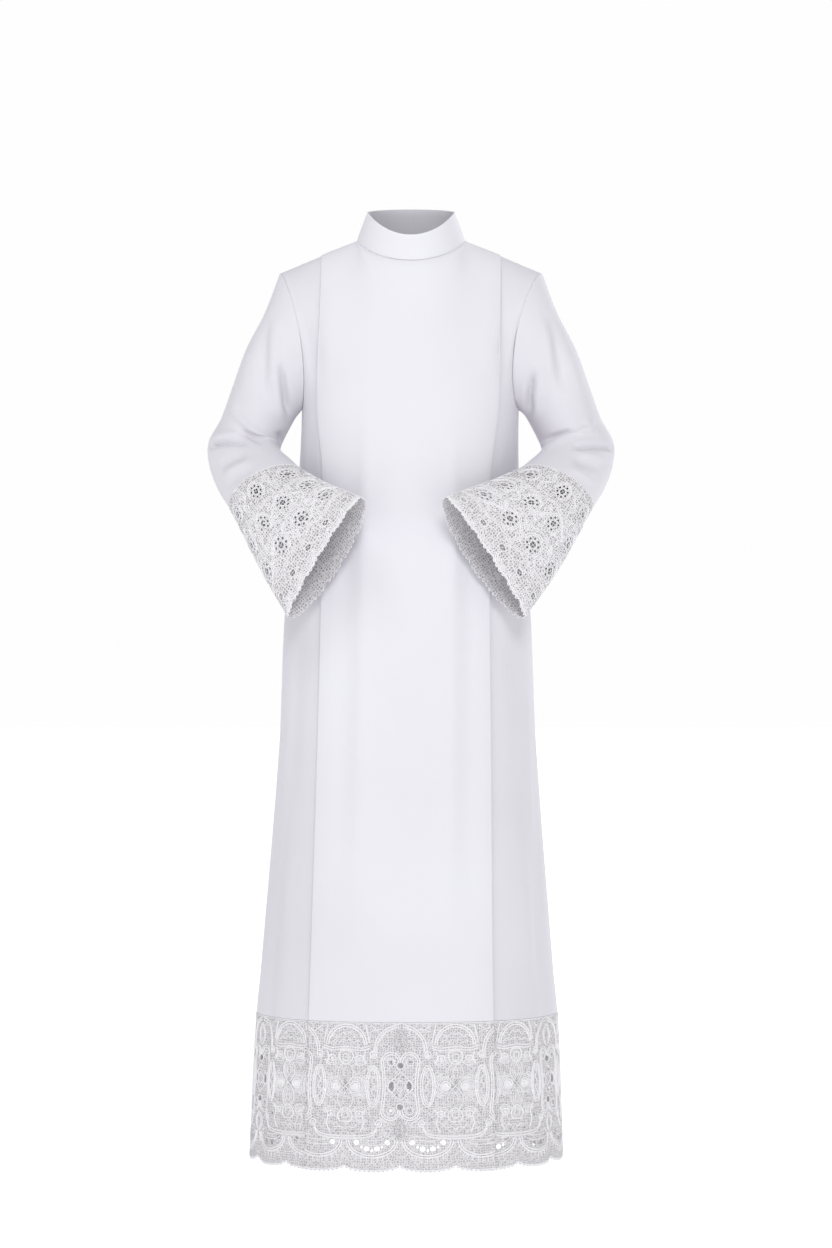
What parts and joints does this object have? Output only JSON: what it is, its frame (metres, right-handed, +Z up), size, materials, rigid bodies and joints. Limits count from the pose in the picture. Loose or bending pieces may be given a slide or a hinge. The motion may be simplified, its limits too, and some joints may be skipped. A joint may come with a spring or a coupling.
{
  "type": "alb with lace hem and cuffs",
  "caption": "Full-length white robe with a stand collar, a pleated centre panel, bell sleeves and scalloped lace at hem and cuffs, in its worn form.",
  "frame": {"origin": "midway between the two side neck points, at their height, where the wearer's shoulders carry the garment", "axes": "+Z up along the length, +X towards the wearer's left, -Y towards the front"},
  "size_m": [0.608, 0.4223, 1.424],
  "materials": {
    "crepe_cloth": "fine matt crepe with a soft sheen",
    "collar_cloth": "fine matt crepe, stiffened",
    "hem_lace": "corded lace on a fine net ground",
    "cuff_lace": "corded lace on a fine net ground"
  },
  "bodies": {
    "root": {"collar": "collar_cloth", "front": "crepe_cloth", "side_front_left": "crepe_cloth", "side_front_right": "crepe_cloth", "back_left": "crepe_cloth", "back_right": "crepe_cloth", "sleeve_left": "crepe_cloth", "sleeve_right": "crepe_cloth", "hem_lace_front": "hem_lace", "hem_lace_back": "hem_lace", "cuff_lace_left_front": "cuff_lace", "cuff_lace_left_back": "cuff_lace", "cuff_lace_right_front": "cuff_lace", "cuff_lace_right_back": "cuff_lace"}
  },
  "joints": []
}
